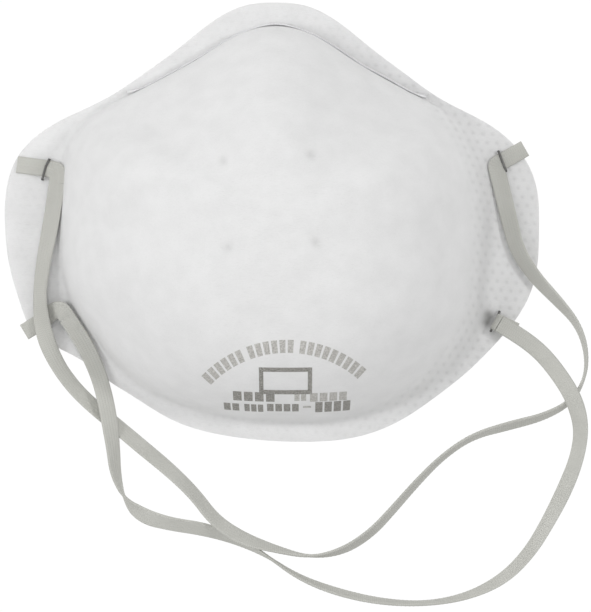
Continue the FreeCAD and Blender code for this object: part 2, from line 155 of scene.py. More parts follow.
LOWER_STRAP_ROUTE = [
    (-0.0546, -0.0254, 0.0037), (-0.0514, -0.03, 0.0034), (-0.0486, -0.0352, 0.0032),
    (-0.0463, -0.0405, 0.0033), (-0.0445, -0.0464, 0.0041), (-0.0432, -0.053, 0.0046),
    (-0.0423, -0.06, 0.0037), (-0.0418, -0.067, 0.0024), (-0.0396, -0.0736, 0.0023),
    (-0.0348, -0.0784, 0.0017), (-0.027, -0.0806, 0.0019), (-0.0185, -0.0818, 0.0019),
    (-0.0102, -0.0843, 0.0021), (-0.0018, -0.0887, 0.0024), (0.0069, -0.0947, 0.0024),
    (0.0173, -0.0987, 0.0023), (0.029, -0.1013, 0.0023), (0.041, -0.1019, 0.0023),
    (0.0522, -0.0999, 0.0023), (0.0618, -0.0953, 0.0021), (0.0688, -0.0882, 0.002),
    (0.0739, -0.0798, 0.0018), (0.0784, -0.071, 0.0017), (0.0816, -0.0625, 0.0024),
    (0.0825, -0.0545, 0.0042), (0.0804, -0.047, 0.0053), (0.0765, -0.0406, 0.005),
    (0.0716, -0.0346, 0.0052), (0.0657, -0.0301, 0.0056), (0.0604, -0.027, 0.0056),
]

# How far the band is rolled about its own line at each point of its route, in degrees:
# 0 lies flat, 90 stands on edge, and past 90 its other face is up.
UPPER_STRAP_ROLL = [0, -8, -16, -28, -40, 0, 30, 32, 33, 33, 30, 36, 46, 44, 42, 72, 95]
UPPER_STRAP_ROLL += [118, 122, 118, 115, 110, 110, 122, 115, 107, 95, 86, 76, 57, 42, 32, 18, 5, 0]
LOWER_STRAP_ROLL = [0, 5, 8, 15, 18, 18, 39, 55, 95, 168, 146, 148, 130, 98, 82, 72, 78, 86, 76]
LOWER_STRAP_ROLL += [56, 50, 40, 27, 38, 35, 5, 0, 0, 0, 0]


# ---- camera


def make_camera():
    data = bpy.data.cameras.new("camera")
    data.sensor_fit = "HORIZONTAL"
    data.sensor_width = SENSOR_WIDTH
    data.lens = SENSOR_WIDTH * (CAMERA_HEIGHT - FLANGE_TOP) / VIEW_WIDTH
    data.clip_start = 0.01
    camera = bpy.data.objects.new("camera", data)
    camera.location = (*VIEW_CENTRE, CAMERA_HEIGHT)
    bpy.context.scene.collection.objects.link(camera)
    bpy.context.scene.camera = camera


make_camera()


# ---- the mask's form


def smooth_step(low, high, value):
    share = np.clip((value - low) / (high - low), 0, 1)
    return share * share * (3 - 2 * share)


def closed_radius(points):
    """Distance from the dome's axis as a smooth periodic function of the angle, through the points."""
    from_centre = np.array(points) - DOME_CENTRE
    angles = np.arctan2(from_centre[:, 1], from_centre[:, 0]) % TURN
    order = np.argsort(angles)
    angles = angles[order]
    radii = np.hypot(*from_centre[order].T)
    count = len(angles)
    gaps = (np.roll(angles, -1) - angles) % TURN
    slopes = (np.roll(radii, -1) - radii) / gaps
    system = np.zeros((count, count))
    for i in range(count):
        system[i, i - 1] += gaps[i - 1]
        system[i, i] += 2 * (gaps[i - 1] + gaps[i])
        system[i, (i + 1) % count] += gaps[i]
    bends = np.linalg.solve(system, 6 * (slopes - np.roll(slopes, 1)))

    def radius(angle):
        angle = np.asarray(angle) % TURN
        i = np.searchsorted(angles, angle, side="right") - 1
        i = np.where(i < 0, count - 1, i)
        j = (i + 1) % count
        past = (angle - angles[i]) % TURN
        rate = slopes[i] - gaps[i] * (2 * bends[i] + bends[j]) / 6
        cubic = (bends[j] - bends[i]) / (6 * gaps[i])
        return radii[i] + past * (rate + past * (bends[i] / 2 + past * cubic))

    return radius


flange_radius = closed_radius(FLANGE_OUTLINE)
crease_radius = closed_radius(CREASE_OUTLINE)


def outer_profiles(angles):
    """Control points (distance from the axis, height) of the mask's outer face, one row per angle."""
    across = np.cos(angles)
    up = np.sin(angles)
    nose = smooth_step(*NOSE_REACH, np.maximum(up, 0) ** 2)
    chin = np.maximum(-up, 0) ** 2
    sides = 1 - nose - chin
    shares = {"nose": nose, "chin": chin, "right": sides * (across > 0), "left": sides * (across <= 0)}
    edge = flange_radius(angles)
    foot = crease_radius(angles)
    reach = sum(shares[side] * PROFILES[side][0] for side in PROFILES)
    reach = np.minimum(reach, FILLET_SHARE * (edge - foot))
    radii = [edge, (edge + foot + reach) / 2, foot + reach, foot]
    heights = [np.full_like(edge, FLANGE_TOP)] * len(radii)
    for row in range(ROWS - len(radii)):
        inwards = sum(shares[side] * PROFILES[side][1][row][0] for side in PROFILES)
        upwards = sum(shares[side] * PROFILES[side][1][row][1] for side in PROFILES)
        radii.append(foot * inwards)
        heights.append(FLANGE_TOP + DOME_HEIGHT * upwards)
    return np.stack(radii, 1), np.stack(heights, 1)


def inset(radii, heights, depth):
    """The profiles moved into the mask by depth = (on the flange, on the dome)."""
    flange_depth, dome_depth = depth
    run = np.diff(radii)
    rise = np.diff(heights)
    length = np.hypot(run, rise)
    length[length == 0] = 1
    normal_r = -rise / length
    normal_z = run / length
    new_r = radii.copy()
    new_z = heights.copy()
    new_z[:, :CORNER_ROW] -= flange_depth
    wall_r = normal_r[:, CORNER_ROW]
    wall_z = normal_z[:, CORNER_ROW]
    new_r[:, CORNER_ROW] += (dome_depth + flange_depth * wall_z) / wall_r
    new_z[:, CORNER_ROW] -= flange_depth
    for row in range(CORNER_ROW + 1, ROWS - 1):
        dot = normal_r[:, row - 1] * normal_r[:, row] + normal_z[:, row - 1] * normal_z[:, row]
        mitre = dome_depth / (1 + dot)
        new_r[:, row] += mitre * (normal_r[:, row - 1] + normal_r[:, row])
        new_z[:, row] += mitre * (normal_z[:, row - 1] + normal_z[:, row])
    new_z[:, -1] -= dome_depth
    return new_r, new_z


def row_weights(values):
    """Weights of the control rows at these parameters, for a clamped uniform cubic from 0 to ROWS - 3."""
    knots = np.concatenate([[0] * 3, np.arange(ROWS - 2), [ROWS - 3] * 3]).astype(float)
    values = np.clip(np.asarray(values, float), 0, ROWS - 3 - 1e-9)
    basis = [((knots[i] <= values) & (values < knots[i + 1])).astype(float) for i in range(len(knots) - 1)]
    for degree in (1, 2, 3):
        raised = []
        for i in range(len(basis) - 1):
            left = knots[i + degree] - knots[i]
            right = knots[i + degree + 1] - knots[i + 1]
            term = 0.0
            if left > 0:
                term = term + (values - knots[i]) / left * basis[i]
            if right > 0:
                term = term + (knots[i + degree + 1] - values) / right * basis[i + 1]
            raised.append(term)
        basis = raised
    return np.stack(basis, -1)


TOP = ROWS - 3.0
NO_DEPTH = (0.0, 0.0)


def add(*depths):
    """Depths, each (on the flange, on the dome), added up."""
    return tuple(sum(depth[zone] for depth in depths) for zone in (0, 1))


FILTER_DEPTH = COVER_THICKNESS
SHELL_DEPTH = add(FILTER_DEPTH, FILTER_THICKNESS)
LINING_DEPTH = add(SHELL_DEPTH, SHELL_THICKNESS)
FACE_DEPTH = add(LINING_DEPTH, LINING_THICKNESS)


def profile_grid(angles, values, depth):
    """(r, z, normal r, normal z) of the web face at this depth, as angles by parameters."""
    angles = np.asarray(angles, float)
    radii, heights = inset(*outer_profiles(angles), depth)
    weights = row_weights(values)
    step = 1e-4
    ahead = row_weights(np.asarray(values) + step) - row_weights(np.asarray(values) - step)
    run = radii @ ahead.T
    rise = heights @ ahead.T
    length = np.hypot(run, rise) + 1e-12
    return radii @ weights.T, heights @ weights.T, rise / length, -run / length


def in_plan(angles, r):
    """Plan coordinates of points at these angles and distances from the dome's axis."""
    across = DOME_CENTRE[0] + r * np.cos(angles)[:, None]
    up = DOME_CENTRE[1] + r * np.sin(angles)[:, None]
    return across, up


# ---- meshes

SHARP_ANGLE = math.radians(50)


def new_piece(name, points, faces, material=None):
    """A smooth-shaded object from points and faces, with its creases kept sharp."""
    mesh = bpy.data.meshes.new(name)
    mesh.from_pydata(np.asarray(points).tolist(), [], faces)
    mesh.update()
    mesh.shade_smooth()
    mesh.set_sharp_from_angle(angle=SHARP_ANGLE)
    piece = bpy.data.objects.new(name, mesh)
    bpy.context.scene.collection.objects.link(piece)
    if material:
        mesh.materials.append(material)
    return piece


def skin(name, rings, material):
    """Closed mesh through rings of points, from the lower pole round the edge to the upper pole.
    Neighbouring rings have as many points, or half or twice as many. Each point is followed by how
    much the web is darkened there."""
    starts = np.cumsum([0] + [len(ring) for ring in rings])
    faces = []
    for k in range(len(rings) - 1):
        a = starts[k] + np.arange(len(rings[k]))
        b = starts[k + 1] + np.arange(len(rings[k + 1]))
        a_next = np.roll(a, -1)
        b_next = np.roll(b, -1)
        if len(a) == len(b):
            blocks = [[a, a_next, b_next, b]]
        elif len(b) == 1:
            blocks = [[a, a_next, np.full(len(a), b[0])]]
        elif len(a) == 1:
            blocks = [[np.full(len(b), a[0]), b_next, b]]
        elif len(a) == 2 * len(b):
            even, odd, after = a[0::2], a[1::2], np.roll(a[0::2], -1)
            blocks = [[even, odd, b], [odd, b_next, b], [odd, after, b_next]]
        else:
            even, odd, after = b[0::2], b[1::2], np.roll(b[0::2], -1)
            blocks = [[odd, even, a], [odd, a, a_next], [after, odd, a_next]]
        for corners in blocks:
            faces += np.stack(corners, 1).tolist()
    points = np.concatenate(rings)
    piece = new_piece(name, points[:, :3], faces, material)
    darkened = piece.data.attributes.new("darkened", "FLOAT", "POINT")
    darkened.data.foreach_set("value", points[:, 3].astype(np.float32))
    return piece


def loft(name, sections, material):
    """Closed mesh through closed sections with the same number of points, with flat ends."""
    sections = np.asarray(sections)
    count, around = sections.shape[:2]
    index = np.arange(count * around).reshape(count, around)
    first, second = index[:-1], index[1:]
    sides = np.stack([first, np.roll(first, -1, 1), np.roll(second, -1, 1), second], -1)
    faces = sides.reshape(-1, 4).tolist() + [index[0][::-1].tolist(), index[-1].tolist()]
    middle = sections[:-1].mean((0, 1))
    corners = sections.reshape(-1, 3)[sides.reshape(-1, 4)] - middle
    volume = np.einsum("ij,ij->i", corners[:, 0], np.cross(corners[:, 1], corners[:, 2])).sum()
    volume += np.einsum("ij,ij->i", corners[:, 0], np.cross(corners[:, 2], corners[:, 3])).sum()
    if volume < 0:
        faces = [face[::-1] for face in faces]
    return new_piece(name, sections.reshape(-1, 3), faces, material)


def unit(vectors):
    vectors = np.asarray(vectors, float)
    return vectors / np.linalg.norm(vectors, axis=-1, keepdims=True)


# ---- materials


class Shader:
    """A material under construction; add() makes a node and sets or links its inputs."""

    def __init__(self, name, colour, roughness, **settings):
        self.material = bpy.data.materials.new(name)
        self.material.use_nodes = True
        self.tree = self.material.node_tree
        self.principled = self.tree.nodes["Principled BSDF"]
        self.principled.inputs["Base Color"].default_value = (*colour, 1)
        self.principled.inputs["Roughness"].default_value = roughness
        for socket, value in settings.items():
            self.principled.inputs[socket.replace("_", " ")].default_value = value

    def add(self, kind, inputs, output=0, **properties):
        node = self.tree.nodes.new("ShaderNode" + kind)
        for key, value in properties.items():
            setattr(node, key, value)
        for key, value in inputs.items():
            if isinstance(value, bpy.types.NodeSocket):
                self.tree.links.new(value, node.inputs[key])
            else:
                node.inputs[key].default_value = value
        return node.outputs[output]

    def place(self, size, turned=(0, 0, 0)):
        """Object coordinates, turned and counted in units of this size (one number, or one per axis)."""
        where = self.add("TexCoord", {}, "Object")
        scale = tuple(1 / side for side in np.broadcast_to(size, 3).tolist())
        return self.add("Mapping", {"Vector": where, "Rotation": turned, "Scale": scale})

    def noise(self, where, scale=1.0, detail=2.0):
        return self.add("TexNoise", {"Vector": where, "Scale": scale, "Detail": detail}, "Fac")

    def math(self, operation, first, second=0.0, third=0.0):
        return self.add("Math", {0: first, 1: second, 2: third}, operation=operation)

    def spread(self, value, low, high, to_low, to_high):
        inputs = {"Value": value, "From Min": low, "From Max": high, "To Min": to_low, "To Max": to_high}
        return self.add("MapRange", inputs)

    def colours(self, value, dark, light):
        """The material's colour runs from dark to light as value goes from 0 to 1, and on past them."""
        node = self.tree.nodes.new("ShaderNodeMix")
        node.data_type = "RGBA"
        node.clamp_factor = False
        self.tree.links.new(value, node.inputs[0])
        node.inputs[6].default_value = (*dark, 1)
        node.inputs[7].default_value = (*light, 1)
        self.tree.links.new(node.outputs[2], self.principled.inputs["Base Color"])

    def bump(self, height, strength, distance):
        made = self.add("Bump", {"Height": height, "Strength": strength, "Distance": distance})
        self.tree.links.new(made, self.principled.inputs["Normal"])


FIBRE_TURNS = [(0.3, 0.1, 0.2), (0.2, 0.5, 1.2), (0.9, 0.2, 2.2), (0.1, 1.1, 2.8)]
FIBRE_SLENDERNESS = 8
MOTTLE_SIZE = 0.006
# How far a darkened place's tone lies below the web's, where the web runs from 0 to 1.
DARKENED_TONE = 1.35
# Knit of the elastic, in millimetres along and across the band.
YARN_PITCH = 0.55
YARN_RUN = 0.375
YARN_TURN = 9.0


def fibres(shader, length, width):
    """Thin ridges lying in several directions, as the fibres of a nonwoven web do."""
    total = None
    for turned in FIBRE_TURNS:
        where = shader.place((length, width, width), turned)
        ridge = shader.math("ABSOLUTE", shader.math("SUBTRACT", shader.noise(where), 0.5))
        thread = shader.spread(ridge, 0.0, 0.09, 1.0, 0.0)
        total = thread if total is None else shader.math("MAXIMUM", total, thread)
    return total


def nonwoven(name, dark, light, fibre, relief):
    """White bonded web: fine crossing fibres, soft mottling and a dull face."""
    shader = Shader(name, light, 0.88, Specular_IOR_Level=0.25)
    coarse = fibres(shader, fibre * FIBRE_SLENDERNESS, fibre)
    cloud = shader.noise(shader.place(MOTTLE_SIZE), detail=3.0)
    speckle = shader.noise(shader.place(fibre * 2))
    tone = shader.math("ADD", shader.math("MULTIPLY", cloud, 0.6), shader.math("MULTIPLY", coarse, 0.25))
    tone = shader.math("ADD", tone, shader.math("MULTIPLY", speckle, 0.15))
    darkened = shader.add("Attribute", {}, "Fac", attribute_name="darkened")
    tone = shader.spread(tone, 0.3, 0.7, 0.0, 1.0)
    tone = shader.math("SUBTRACT", tone, shader.math("MULTIPLY", darkened, DARKENED_TONE))
    shader.colours(tone, dark, light)
    height = shader.math("ADD", coarse, shader.math("MULTIPLY", speckle, 0.8))
    shader.bump(height, 0.45, relief)
    return shader.material


def elastic_band(name):
    """Knitted elastic: grey-white covering yarns over rubber cores that run along the band."""
    dark = (0.455, 0.455, 0.42)
    light = (0.585, 0.585, 0.55)
    shader = Shader(name, light, 0.8, Specular_IOR_Level=0.25)
    band = shader.add("UVMap", {}, uv_map="band")
    split = shader.tree.nodes.new("ShaderNodeSeparateXYZ")
    shader.tree.links.new(band, split.inputs[0])
    along, across = split.outputs[0], split.outputs[1]
    slant = shader.math("MULTIPLY", shader.math("PINGPONG", across, YARN_RUN), YARN_TURN)
    phase = shader.math("ADD", shader.math("MULTIPLY", along, TURN / YARN_PITCH), slant)
    yarn = shader.math("MULTIPLY_ADD", shader.math("SINE", phase), 0.5, 0.5)
    fuzz = shader.noise(shader.place(0.00022))
    cloud = shader.noise(shader.place(0.009))
    tone = shader.math("ADD", shader.math("MULTIPLY", yarn, 0.3), shader.math("MULTIPLY", fuzz, 0.25))
    tone = shader.math("ADD", tone, shader.math("MULTIPLY", cloud, 0.45))
    shader.colours(shader.spread(tone, 0.2, 0.8, 0.0, 1.0), dark, light)
    shader.bump(shader.math("ADD", yarn, shader.math("MULTIPLY", fuzz, 0.3)), 0.25, 0.00005)
    return shader.material


def rolled_metal(name, dark, light, roughness, grain):
    """Bare metal with fine drawing lines and slightly uneven gloss."""
    shader = Shader(name, light, roughness, Metallic=1.0)
    lines = shader.noise(shader.place((grain * 20, grain, grain), (0.2, 0.3, 0.5)))
    cloud = shader.noise(shader.place(0.0012))
    shader.colours(shader.math("MULTIPLY_ADD", lines, 0.6, 0.5), dark, light)
    rough = shader.spread(cloud, 0.3, 0.7, roughness * 0.75, roughness * 1.3)
    shader.tree.links.new(rough, shader.principled.inputs["Roughness"])
    shader.bump(lines, 0.25, grain * 0.15)
    return shader.material


def open_foam(name):
    """Soft grey foam with open cells, their hollows coloured darker as painted shade."""
    shader = Shader(name, (0.58, 0.58, 0.57), 0.92, Specular_IOR_Level=0.2)
    cells = shader.add("TexVoronoi", {"Vector": shader.place(0.0006), "Scale": 1.0}, "Distance")
    pores = shader.spread(cells, 0.15, 0.55, 0.0, 1.0)
    # Painted shade: the middles of the cells, the pores' hollows, are coloured darker.
    shader.colours(pores, (0.30, 0.30, 0.29), (0.64, 0.64, 0.62))
    shader.bump(pores, 0.9, 0.0002)
    return shader.material


def printed_ink(name, dark, light):
    """Dull grey ink that has soaked unevenly into the web."""
    shader = Shader(name, dark, 0.85, Specular_IOR_Level=0.2)
    wear = shader.noise(shader.place(0.00035), detail=3.0)
    shader.colours(shader.spread(wear, 0.35, 0.7, 0.0, 1.0), dark, light)
    return shader.material


COVER = nonwoven("cover_web", (0.745, 0.745, 0.744), (0.815, 0.815, 0.815), 0.00028, 0.00006)
FILTER = nonwoven("filter_web", (0.74, 0.745, 0.75), (0.80, 0.80, 0.80), 0.0002, 0.00004)
FELT = nonwoven("moulded_felt", (0.66, 0.655, 0.63), (0.77, 0.765, 0.745), 0.0004, 0.00012)
LINING = nonwoven("lining_web", (0.72, 0.72, 0.715), (0.80, 0.80, 0.795), 0.00032, 0.00007)
ELASTIC = elastic_band("elastic_band")
CLIP_METAL = rolled_metal("clip_aluminium", (0.66, 0.66, 0.67), (0.86, 0.86, 0.87), 0.38, 0.00006)
# The staple wire's near-black colour is painted reflection: it stands in for the dark room that bare steel
# would reflect.
STAPLE_STEEL = rolled_metal("staple_wire", (0.07, 0.07, 0.068), (0.17, 0.17, 0.165), 0.42, 0.00005)
FOAM = open_foam("open_foam")
DARK_INK = printed_ink("dark_ink", (0.19, 0.185, 0.17), (0.43, 0.42, 0.395))
LIGHT_INK = printed_ink("light_ink", (0.37, 0.36, 0.34), (0.65, 0.64, 0.615))


# ---- straps

SPLINE_STEPS = 32
BAND_STEP = 0.00028
# The band's edges are rounded as a superellipse of this power.
EDGE_POWER = 9
RIBS = 6
RIB_DEPTH = 0.00006
STITCH_PITCH = 0.0011
STITCH_DEPTH = 0.00003


def spline_points(route):
    """Points along the smooth open curve that has the route's points as its control points."""
    curve = bpy.data.curves.new("route", "CURVE")
    curve.dimensions = "3D"
    spline = curve.splines.new("NURBS")
    spline.points.add(len(route) - 1)
    for point, place in zip(spline.points, route):
        point.co = (*place, 1.0)
    spline.order_u = 3
    spline.use_endpoint_u = True
    spline.resolution_u = SPLINE_STEPS
    holder = bpy.data.objects.new("route", curve)
    mesh = bpy.data.meshes.new_from_object(holder)
    points = np.array([vertex.co for vertex in mesh.vertices])
    bpy.data.objects.remove(holder)
    bpy.data.curves.remove(curve)
    bpy.data.meshes.remove(mesh)
    return points


def lengths_along(points):
    steps = np.linalg.norm(np.diff(points, axis=0), axis=1)
    return np.concatenate([[0], np.cumsum(steps)])


def evenly(points, step, *others):
    """The points, and whatever goes with them, at even steps along their line."""
    lengths = lengths_along(points)
    at = np.linspace(0, lengths[-1], max(2, round(lengths[-1] / step)) + 1)
    resampled = [np.stack([np.interp(at, lengths, column) for column in points.T], 1)]
    resampled += [np.interp(at, lengths, values) for values in others]
    return at, resampled


def band_outline():
    """(across, through) round the band's section, in shares from -1 to 1: over the top and back below."""
    across = np.linspace(-1, 1, RIBS * 4 + 1)
    full = np.sqrt(1 - np.abs(across) ** EDGE_POWER)
    over = np.stack([across, full], 1)
    under = np.stack([across[-2:0:-1], -full[-2:0:-1]], 1)
    return np.concatenate([over, under])


def band_heights(outline, along):
    """Half thickness of the band round its section, with ribs and stitches, at each length along it."""
    across = outline[:, 0]
    rib = 0.5 - 0.5 * np.cos(TURN * RIBS * (across + 1) / 2)
    side = np.floor((across + 1) / 2 * RIBS) % 2
    stitch = np.sin(TURN * (along[:, None] / STITCH_PITCH + side / 2))
    rounded = np.sqrt(1 - np.abs(across) ** EDGE_POWER)
    ribbed = STRAP_THICKNESS / 2 - RIB_DEPTH * (1 - rib) + STITCH_DEPTH * rib * stitch
    return np.sign(outline[:, 1]) * ribbed * rounded


def band_piece(name, points, along):
    """Lofted band with its lengths along and across, in millimetres, kept as a map for its knit."""
    piece = loft(name, points, ELASTIC)
    across = band_outline()[:, 0] * STRAP_WIDTH / 2
    lengthwise = np.repeat(along, len(across)) * 1000
    crosswise = np.tile(across, len(along)) * 1000
    uv = piece.data.uv_layers.new(name="band")
    corners = np.zeros(len(piece.data.loops), int)
    piece.data.loops.foreach_get("vertex_index", corners)
    uv.data.foreach_set("uv", np.stack([lengthwise[corners], crosswise[corners]], 1).ravel())
    return piece


def band_sections(centres, roll, along):
    """Sections of the band round its centre line, rolled about it by these angles."""
    forward = unit(np.gradient(centres, axis=0))
    right = unit(np.cross(forward, (0, 0, 1)))
    up = np.cross(right, forward)
    cos = np.cos(roll)[:, None]
    sin = np.sin(roll)[:, None]
    side = right * cos + up * sin
    face = up * cos - right * sin
    outline = band_outline()
    across = outline[:, 0] * STRAP_WIDTH / 2
    through = band_heights(outline, along)
    return centres[:, None] + across[None, :, None] * side[:, None] + through[..., None] * face[:, None]


# ---- what lies on the mask

SAMPLES = np.linspace(0, TOP, 180)
LIFT_LIMIT = 0.0030


def outer_face(x, y):
    """(parameter, height, surface length per plan length) of the outer face under these plan points."""
    across = np.ravel(x) - DOME_CENTRE[0]
    up = np.ravel(y) - DOME_CENTRE[1]
    reach = np.hypot(across, up)
    r, z, _, _ = profile_grid(np.arctan2(up, across), SAMPLES, NO_DEPTH)
    later = np.clip((r > reach[:, None]).sum(1), 1, len(SAMPLES) - 1)
    rows = np.arange(len(reach))
    before = later - 1
    share = (r[rows, before] - reach) / (r[rows, before] - r[rows, later])
    share = np.clip(share, 0, 1)
    value = SAMPLES[before] + share * (SAMPLES[later] - SAMPLES[before])
    height = z[rows, before] + share * (z[rows, later] - z[rows, before])
    slope = (z[rows, later] - z[rows, before]) / (r[rows, before] - r[rows, later])
    steepness = np.sqrt(1 + slope**2)
    return [found.reshape(np.shape(x)) for found in (value, height, steepness)]


def laid_on_mask(points):
    """The points raised where the dome's foot rises under them, so that a band leans on it."""
    _, height, _ = outer_face(points[..., 0], points[..., 1])
    rise = np.maximum(height - FLANGE_TOP, 0)
    laid = points.copy()
    laid[..., 2] += LIFT_LIMIT * (1 - np.exp(-rise / LIFT_LIMIT))
    return laid


# ---- free straps


def free_strap(body, route, roll):
    """One free strap: a flat band along its route, rolled about its own line and raised where the dome's foot
    rises under it."""
    angles = spline_points([(degrees, 0, 0) for degrees in roll])[:, 0]
    along, (centres, rolled) = evenly(spline_points(route), BAND_STEP, np.radians(angles))
    sections = laid_on_mask(band_sections(centres, rolled, along))
    piece = band_piece(body + "_band", sections, along)
    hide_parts(body)
    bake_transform(piece)


free_strap("upper_strap", UPPER_STRAP_ROUTE, UPPER_STRAP_ROLL)
free_strap("lower_strap", LOWER_STRAP_ROUTE, LOWER_STRAP_ROLL)


# ---- stapled ends of the straps

TAB_LEVEL = FLANGE_TOP + STRAP_THICKNESS / 2
END_STEP = 0.00028
TURN_STEPS = 60
AFTER_STEPS = 12
CORNER_FLARE = 0.22
CORNER_SPREAD = 0.0012
CORNER_LIFT = 0.0004
# Ends that turn in their own plane: (tail, corner, end, how far from the corner the turn starts).
TURNED_ENDS = {
    "upper_left": ((-0.0681, 0.0155), (-0.0569, 0.0140), UPPER_STRAP_ROUTE[0], 0.0031),
    "upper_right": ((0.0676, 0.0198), (0.0597, 0.0153), UPPER_STRAP_ROUTE[-1], 0.0025),
}
FOLDED_END = {"tail": (0.0652, -0.0290), "through": (0.0596, -0.0264), "route": LOWER_STRAP_ROUTE[:-3:-1]}
ARCHED_END = [
    (-0.0662, -0.0293, 0.00175),
    (-0.0632, -0.0275, 0.00175),
    (-0.0603, -0.0255, 0.0018),
    (-0.0583, -0.0236, 0.0030),
    (-0.0564, -0.0231, 0.0042),
    (-0.0551, -0.0243, 0.0041),
]


def folded_end(tail, through, route):
    """Sections of a strap's end: flat from its cut edge through the staple, then folded back over itself
    along a slanting line, to meet the free strap where its route starts."""
    tail = np.array(tail)
    start = np.array(route[0])
    inwards = unit(np.array(through) - tail)
    outwards = unit(np.array(route[1])[:2] - start[:2])
    bend = (start[2] - TAB_LEVEL) / 2
    middle = (math.atan2(*inwards[::-1]) + math.atan2(*outwards[::-1])) / 2
    line = np.array([math.cos(middle), math.sin(middle)])
    over = np.array([-line[1], line[0]])
    if over @ inwards < 0:
        over = -over
    target = start[:2] - tail - math.pi * bend * over
    to_fold, past_fold = np.linalg.solve(np.stack([inwards, outwards], 1), target)
    along = np.linspace(0, to_fold + past_fold, round((to_fold + past_fold) / END_STEP))
    right = np.array([inwards[1], -inwards[0]])
    outline = band_outline()
    across = outline[:, 0] * STRAP_WIDTH / 2
    flat = (along - to_fold)[:, None, None] * inwards + across[None, :, None] * right
    ahead = flat @ over
    turn = np.clip(ahead / bend, 0, math.pi)
    through = band_heights(outline, along)
    past = np.where(ahead < 0, ahead, bend * np.sin(turn) - np.maximum(ahead - math.pi * bend, 0))
    past = past - np.sin(turn) * through
    height = TAB_LEVEL + bend * (1 - np.cos(turn)) + np.cos(turn) * through
    plan = tail + to_fold * inwards + (flat @ line)[..., None] * line + past[..., None] * over
    return np.concatenate([plan, height[..., None]], -1), along


def tab_piece(place, sections, along):
    piece = band_piece("strap_end_" + place, laid_on_mask(sections), along)
    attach(piece, "mask")
    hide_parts("strap_tab_" + place)


def turned_end(tail, corner, end, cut):
    """Sections of a strap's end: flat from its cut edge through the staple, then drawn round a tight
    corner in its own plane, where its outer edge is pulled out and lifts a little."""
    tail, corner, end = np.array(tail), np.array(corner), np.array(end)
    start = corner + unit(tail - corner) * cut
    finish = corner + unit(end[:2] - corner) * cut
    share = np.linspace(0, 1, TURN_STEPS)[:, None]
    arc = start * (1 - share) ** 2 + corner * 2 * share * (1 - share) + finish * share**2
    before = np.linspace(tail, start, TURN_STEPS)[:-1]
    after = np.linspace(finish, end[:2], AFTER_STEPS)[1:]
    plan = np.concatenate([before, arc, after])
    along, (plan,) = evenly(plan, END_STEP)
    to_start = np.linalg.norm(start - tail)
    height = TAB_LEVEL + (end[2] - TAB_LEVEL) * smooth_step(to_start, along[-1], along)
    centres = np.concatenate([plan, height[:, None]], 1)
    sections = band_sections(centres, np.zeros(len(along)), along)
    middle = along[np.argmin(np.linalg.norm(plan - corner, axis=1))]
    turn = np.cross(unit(corner - tail), unit(end[:2] - corner))
    outer = band_outline()[:, 0] * np.sign(turn)
    bulge = np.exp(-(((along - middle) / CORNER_SPREAD) ** 2))[:, None] * np.maximum(outer, 0)[None, :]
    sections = centres[:, None] + (sections - centres[:, None]) * (1 + CORNER_FLARE * bulge)[..., None]
    sections[..., 2] += CORNER_LIFT * bulge
    return sections, along


for place, end in TURNED_ENDS.items():
    tab_piece(place, *turned_end(*end))
tab_piece("lower_right", *folded_end(**FOLDED_END))

arch_points = spline_points(ARCHED_END + [LOWER_STRAP_ROUTE[0]])
arch_along, (arch_centres,) = evenly(arch_points, END_STEP)
tab_piece("lower_left", band_sections(arch_centres, np.zeros(len(arch_along)), arch_along), arch_along)


# ---- staples

WIRE_SIDES = 20
CORNER_STEPS = 6
# Most of a straight side that a corner may take.
CORNER_SHARE = 0.45
STAPLE_CORNER = 0.0004
# Where the crown's kink is, as a share of the way from its middle to a leg.
KINK_PLACE = 0.15
FOOT_GAP = 0.0006
FOOT_LEVEL = 0.00024
CROWN_LEVEL = FLANGE_TOP + STRAP_THICKNESS + STAPLE_WIRE / 2
STAPLES = {
    "upper_left": {"centre": (-0.0604, 0.01415), "degrees": 71.2, "kink": 0.00028},
    "upper_right": {"centre": (0.0615, 0.01635), "degrees": 111.1, "kink": 0.0},
    "lower_left": {"centre": (-0.0606, -0.0256), "degrees": 122.0, "kink": 0.0},
    "lower_right": {"centre": (0.0596, -0.0264), "degrees": 66.0, "kink": 0.0},
}


def rounded(points, radius):
    """The line through the points, with an arc of this radius at each corner between the ends."""
    points = [np.array(point, float) for point in points]
    made = [points[0]]
    for before, corner, after in zip(points, points[1:], points[2:]):
        into = unit(before - corner)
        out_of = unit(after - corner)
        half = math.acos(np.clip(into @ out_of, -1, 1)) / 2
        shorter = min(np.linalg.norm(before - corner), np.linalg.norm(after - corner))
        cut = min(radius / math.tan(half), CORNER_SHARE * shorter)
        for share in np.linspace(0, 1, CORNER_STEPS):
            start = corner + into * cut * (1 - share)
            end = corner + out_of * cut * share
            made.append(start * (1 - share) + end * share)
    made.append(points[-1])
    return np.array(made)


def flat_wire(name, path, broad, material):
    """Flattened wire along a path; broad is the direction of its wider side."""
    forward = unit(np.gradient(path, axis=0))
    side = unit(broad - (forward @ broad)[:, None] * forward)
    face = np.cross(side, forward)
    turn = np.linspace(0, TURN, WIRE_SIDES, endpoint=False)
    across, through = (np.sign(wave) * np.sqrt(np.abs(wave)) for wave in (np.cos(turn), np.sin(turn)))
    across = across * STAPLE_WIRE_WIDTH / 2
    through = through * STAPLE_WIRE / 2
    sections = path[:, None] + across[None, :, None] * side[:, None] + through[None, :, None] * face[:, None]
    return loft(name, sections, material)


